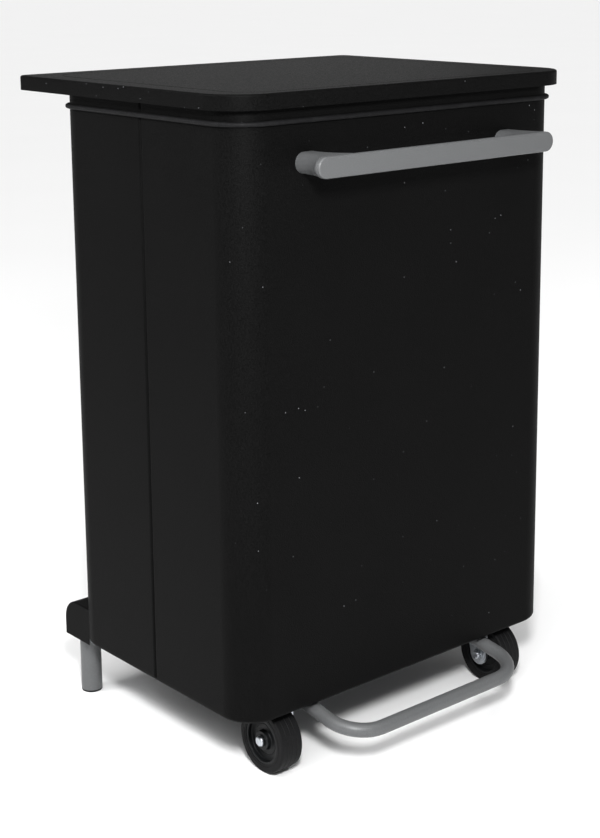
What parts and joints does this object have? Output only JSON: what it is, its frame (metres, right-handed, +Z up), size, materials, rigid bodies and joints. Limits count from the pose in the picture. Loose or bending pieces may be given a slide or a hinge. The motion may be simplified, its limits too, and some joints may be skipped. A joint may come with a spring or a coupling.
{
  "type": "linen trolley",
  "caption": "Lidded sheet-steel linen sack trolley with a push handle, front wheels, rear legs and a foot pedal that lifts the hinged lid.",
  "frame": {"origin": "on the floor, at the middle of the whole object's footprint box: midway between the front of the pedal and the back edge of the lid, on the left-right centre plane", "axes": "+Z up, -Y towards the front panel with the handle and pedal, +X to the right seen from the front"},
  "size_m": [0.506, 0.456, 0.754],
  "materials": {
    "black_powder_coat": "fine textured powder coat",
    "grey_powder_coat": "satin powder coat",
    "zinc_plated_steel": "bright zinc plate",
    "black_rubber": "matt",
    "tyre_rubber": "moulded, slightly worn",
    "black_polypropylene": "moulded satin",
    "nylon": "natural nylon"
  },
  "bodies": {
    "trolley_body": {"front_shell": "black_powder_coat", "rear_shell": "black_powder_coat", "seam_rivets": "zinc_plated_steel", "rim_frame": "black_powder_coat", "bag_band": "black_rubber", "base_pan": "black_powder_coat", "base_screws": "black_powder_coat", "bracket_screws": "zinc_plated_steel", "rear_channel": "black_powder_coat", "rear_rivets": "zinc_plated_steel", "leg_left": "grey_powder_coat", "leg_right": "grey_powder_coat", "leg_plate_left": "zinc_plated_steel", "leg_plate_right": "zinc_plated_steel", "leg_glide_left": "black_polypropylene", "leg_glide_right": "black_polypropylene", "leg_screws": "zinc_plated_steel", "wheel_bracket_left": "zinc_plated_steel", "wheel_bracket_right": "zinc_plated_steel", "axle_left": "zinc_plated_steel", "axle_right": "zinc_plated_steel", "wheel_washers": "zinc_plated_steel", "axle_star_clips": "zinc_plated_steel", "handle_bar": "grey_powder_coat", "handle_mount_left": "grey_powder_coat", "handle_mount_right": "grey_powder_coat", "handle_screws": "zinc_plated_steel", "pivot_bracket_left": "zinc_plated_steel", "pivot_bracket_right": "zinc_plated_steel", "pivot_bushes": "nylon", "pedal_stop": "black_rubber", "rod_guide_lower": "zinc_plated_steel", "rod_guide_upper": "zinc_plated_steel", "guide_bushes": "nylon", "hinge_bracket_left": "zinc_plated_steel", "hinge_bracket_right": "zinc_plated_steel", "hinge_pin": "zinc_plated_steel", "hinge_pin_clips": "zinc_plated_steel"},
    "lid": {"lid_shell": "black_powder_coat", "lid_liner": "black_powder_coat", "lid_buffers": "black_rubber", "hinge_ear_left": "zinc_plated_steel", "hinge_ear_right": "zinc_plated_steel", "lid_crank": "zinc_plated_steel"},
    "pedal": {"pedal_tube": "grey_powder_coat", "pedal_end_caps": "black_polypropylene", "pedal_shaft": "zinc_plated_steel", "shaft_clips": "zinc_plated_steel", "pedal_lever": "zinc_plated_steel", "lever_pad": "nylon"},
    "lift_rod": {"lift_rod": "zinc_plated_steel", "rod_foot": "nylon", "rod_clevis": "zinc_plated_steel", "rod_pin": "zinc_plated_steel"},
    "wheel_left": {"tyre_left": "tyre_rubber", "hub_left": "black_polypropylene", "wheel_bush_left": "black_polypropylene"},
    "wheel_right": {"tyre_right": "tyre_rubber", "hub_right": "black_polypropylene", "wheel_bush_right": "black_polypropylene"}
  },
  "joints": [
    {"name": "lid_hinge", "type": "hinge", "parent": "trolley_body", "child": "lid", "pos_m": [0, 0.20589, 0.73], "axis": [-1, 0, 0], "range_deg": [0, 75]},
    {"name": "pedal_hinge", "type": "hinge", "parent": "trolley_body", "child": "pedal", "pos_m": [0, -0.02, 0.08875], "axis": [1, 0, 0], "range_deg": [0, 8.5]},
    {"name": "rod_lift", "type": "slide", "parent": "trolley_body", "child": "lift_rod", "axis": [0, 0, 1], "range_m": [0, 0.03053]},
    {"name": "wheel_left_spin", "type": "hinge", "parent": "trolley_body", "child": "wheel_left", "pos_m": [-0.176, -0.129, 0.0375], "axis": [1, 0, 0], "continuous": true},
    {"name": "wheel_right_spin", "type": "hinge", "parent": "trolley_body", "child": "wheel_right", "pos_m": [0.176, -0.129, 0.0375], "axis": [1, 0, 0], "continuous": true}
  ],
  "couplings": [
    {"joint": "pedal_hinge", "follows": "lid_hinge", "ratio": 0.11333},
    {"joint": "rod_lift", "follows": "lid_hinge", "m_per_rad": 0.02332}
  ]
}
